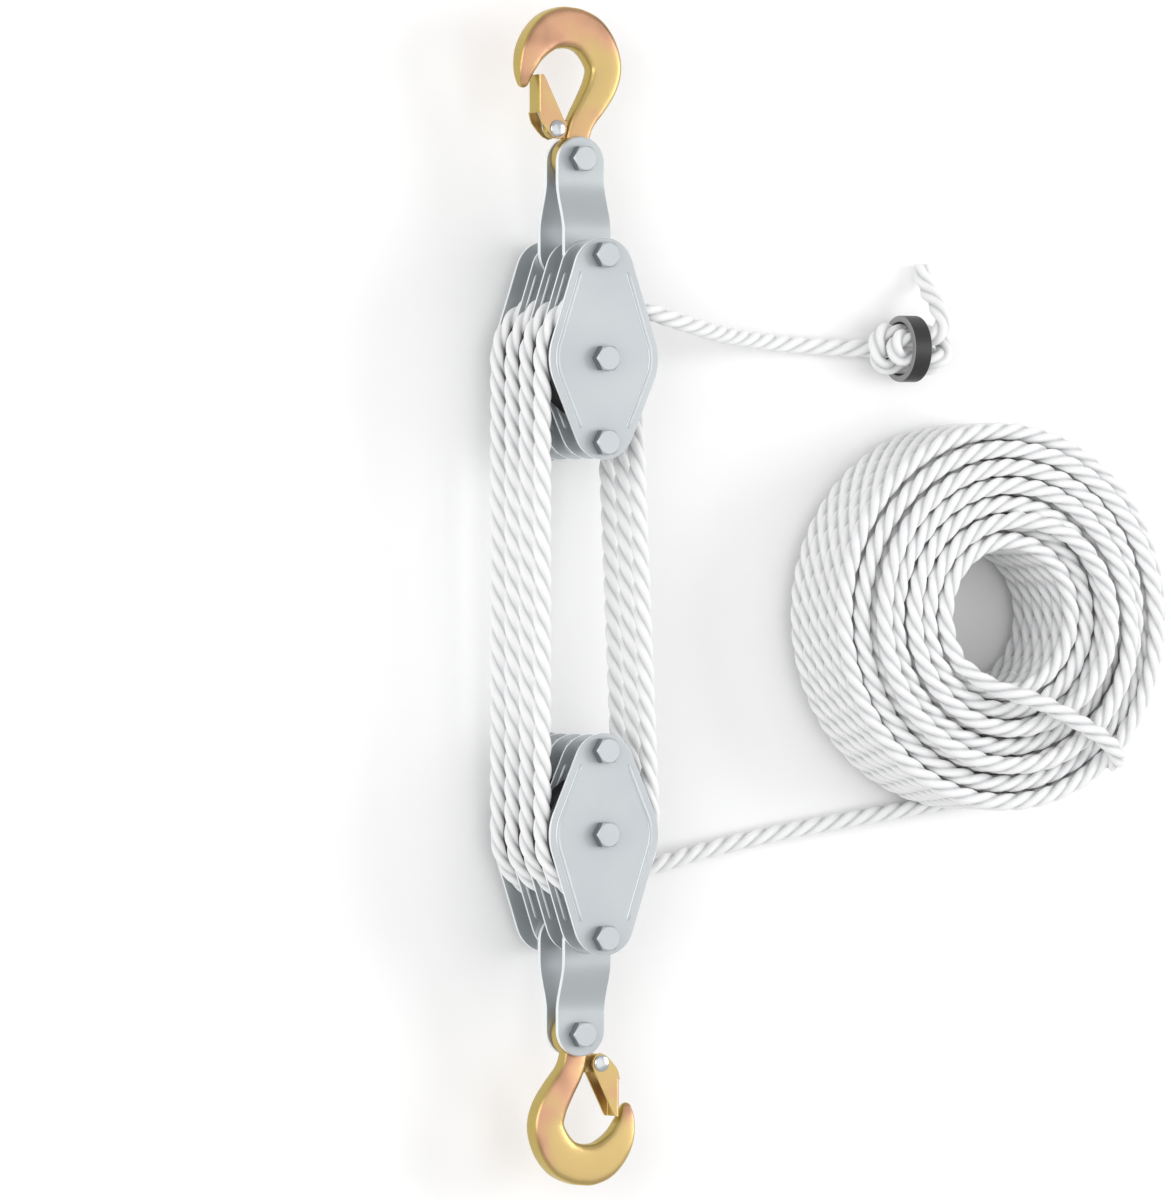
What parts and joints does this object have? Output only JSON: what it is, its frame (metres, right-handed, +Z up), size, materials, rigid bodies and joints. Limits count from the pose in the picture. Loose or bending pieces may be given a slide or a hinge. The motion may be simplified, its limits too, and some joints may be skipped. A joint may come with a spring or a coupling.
{
  "type": "block and tackle",
  "caption": "Rope hoist of two multi-sheave pulley blocks with latch hooks, laid flat, with its hauling rope coiled beside it.",
  "frame": {"origin": "on the floor under the middle of the two blocks, which lie flat on their bolt ends", "axes": "+Y from the lower hook to the upper hook, +Z up along the sheave axles, +X to the side of the rope coil"},
  "size_m": [0.4068, 0.6392, 0.0844],
  "materials": {
    "zinc_plate": "satin",
    "bright_zinc": "polished",
    "gold_zinc": "satin",
    "white_rope": "matte",
    "sheave_black": "satin",
    "ring_rubber": "matte"
  },
  "bodies": {
    "lower_block": {"lower_front_cheek": "zinc_plate", "lower_rear_cheek": "zinc_plate", "lower_partition_1": "zinc_plate", "lower_partition_2": "zinc_plate", "lower_partition_3": "zinc_plate", "lower_axle_bolt": "zinc_plate", "lower_axle_nut": "bright_zinc", "lower_head_bolt": "zinc_plate", "lower_head_nut": "bright_zinc", "lower_tail_bolt": "zinc_plate", "lower_tail_nut": "bright_zinc", "lower_head_sleeve": "bright_zinc", "lower_tail_sleeve": "bright_zinc", "reeved_rope": "white_rope", "tail_rope": "white_rope", "stop_ring": "ring_rubber", "hauling_rope": "white_rope", "coil_winding": "white_rope", "coil_core": "white_rope"},
    "upper_block": {"upper_front_cheek": "zinc_plate", "upper_rear_cheek": "zinc_plate", "upper_partition_1": "zinc_plate", "upper_partition_2": "zinc_plate", "upper_partition_3": "zinc_plate", "upper_axle_bolt": "zinc_plate", "upper_axle_nut": "bright_zinc", "upper_head_bolt": "zinc_plate", "upper_head_nut": "bright_zinc", "upper_tail_bolt": "zinc_plate", "upper_tail_nut": "bright_zinc", "upper_head_sleeve": "bright_zinc", "upper_tail_sleeve": "bright_zinc"},
    "lower_sheave_1": {"lower_sheave_1": "sheave_black"},
    "lower_sheave_2": {"lower_sheave_2": "sheave_black"},
    "lower_sheave_3": {"lower_sheave_3": "sheave_black"},
    "lower_sheave_4": {"lower_sheave_4": "sheave_black"},
    "lower_straps": {"lower_front_strap": "zinc_plate", "lower_rear_strap": "zinc_plate", "lower_hook_bolt": "zinc_plate", "lower_hook_nut": "bright_zinc"},
    "lower_hook": {"lower_hook": "gold_zinc", "lower_latch_rivet": "bright_zinc"},
    "lower_latch": {"lower_latch": "gold_zinc", "lower_latch_spring": "bright_zinc"},
    "upper_sheave_1": {"upper_sheave_1": "sheave_black"},
    "upper_sheave_2": {"upper_sheave_2": "sheave_black"},
    "upper_sheave_3": {"upper_sheave_3": "sheave_black"},
    "upper_sheave_4": {"upper_sheave_4": "sheave_black"},
    "upper_straps": {"upper_front_strap": "zinc_plate", "upper_rear_strap": "zinc_plate", "upper_hook_bolt": "zinc_plate", "upper_hook_nut": "bright_zinc"},
    "upper_hook": {"upper_hook": "gold_zinc", "upper_latch_rivet": "bright_zinc"},
    "upper_latch": {"upper_latch": "gold_zinc", "upper_latch_spring": "bright_zinc"}
  },
  "joints": [
    {"name": "block_travel", "type": "slide", "parent": "lower_block", "child": "upper_block", "axis": [0, -1, 0], "range_m": [0, 0.14], "deforming": ["reeved_rope", "tail_rope"]},
    {"name": "lower_sheave_1_spin", "type": "hinge", "parent": "lower_block", "child": "lower_sheave_1", "pos_m": [0, -0.1285, 0.0693], "axis": [0, 0, 1], "continuous": true},
    {"name": "lower_sheave_2_spin", "type": "hinge", "parent": "lower_block", "child": "lower_sheave_2", "pos_m": [0, -0.1285, 0.0527], "axis": [0, 0, 1], "continuous": true},
    {"name": "lower_sheave_3_spin", "type": "hinge", "parent": "lower_block", "child": "lower_sheave_3", "pos_m": [0, -0.1285, 0.0361], "axis": [0, 0, 1], "continuous": true},
    {"name": "lower_sheave_4_spin", "type": "hinge", "parent": "lower_block", "child": "lower_sheave_4", "pos_m": [0, -0.1285, 0.0195], "axis": [0, 0, 1], "continuous": true},
    {"name": "lower_strap_swing", "type": "hinge", "parent": "lower_block", "child": "lower_straps", "pos_m": [0, -0.1844, 0.0444], "axis": [0, 0, 1], "range_deg": [-65, 65]},
    {"name": "lower_hook_swing", "type": "hinge", "parent": "lower_straps", "child": "lower_hook", "pos_m": [0, -0.2374, 0.0444], "axis": [0, 0, 1], "range_deg": [-45, 45]},
    {"name": "lower_latch_open", "type": "hinge", "parent": "lower_hook", "child": "lower_latch", "pos_m": [0.0135, -0.2535, 0.0444], "axis": [0, 0, -1], "range_deg": [0, 25], "stiffness_Nm_per_rad": 0.02, "springref_deg": -17.19},
    {"name": "upper_sheave_1_spin", "type": "hinge", "parent": "upper_block", "child": "upper_sheave_1", "pos_m": [0, 0.1285, 0.0693], "axis": [0, 0, 1], "continuous": true},
    {"name": "upper_sheave_2_spin", "type": "hinge", "parent": "upper_block", "child": "upper_sheave_2", "pos_m": [0, 0.1285, 0.0527], "axis": [0, 0, 1], "continuous": true},
    {"name": "upper_sheave_3_spin", "type": "hinge", "parent": "upper_block", "child": "upper_sheave_3", "pos_m": [0, 0.1285, 0.0361], "axis": [0, 0, 1], "continuous": true},
    {"name": "upper_sheave_4_spin", "type": "hinge", "parent": "upper_block", "child": "upper_sheave_4", "pos_m": [0, 0.1285, 0.0195], "axis": [0, 0, 1], "continuous": true},
    {"name": "upper_strap_swing", "type": "hinge", "parent": "upper_block", "child": "upper_straps", "pos_m": [0, 0.1844, 0.0444], "axis": [0, 0, 1], "range_deg": [-65, 65]},
    {"name": "upper_hook_swing", "type": "hinge", "parent": "upper_straps", "child": "upper_hook", "pos_m": [0, 0.2374, 0.0444], "axis": [0, 0, 1], "range_deg": [-45, 45]},
    {"name": "upper_latch_open", "type": "hinge", "parent": "upper_hook", "child": "upper_latch", "pos_m": [-0.0135, 0.2535, 0.0444], "axis": [0, 0, -1], "range_deg": [0, 25], "stiffness_Nm_per_rad": 0.02, "springref_deg": -17.19}
  ],
  "couplings": [
    {"joint": "lower_sheave_1_spin", "follows": "block_travel", "rad_per_m": 30.303},
    {"joint": "lower_sheave_2_spin", "follows": "block_travel", "rad_per_m": 90.909},
    {"joint": "lower_sheave_3_spin", "follows": "block_travel", "rad_per_m": 151.51},
    {"joint": "lower_sheave_4_spin", "follows": "block_travel", "rad_per_m": 212.12},
    {"joint": "upper_sheave_2_spin", "follows": "block_travel", "rad_per_m": 60.606},
    {"joint": "upper_sheave_3_spin", "follows": "block_travel", "rad_per_m": 121.21},
    {"joint": "upper_sheave_4_spin", "follows": "block_travel", "rad_per_m": 181.82}
  ]
}
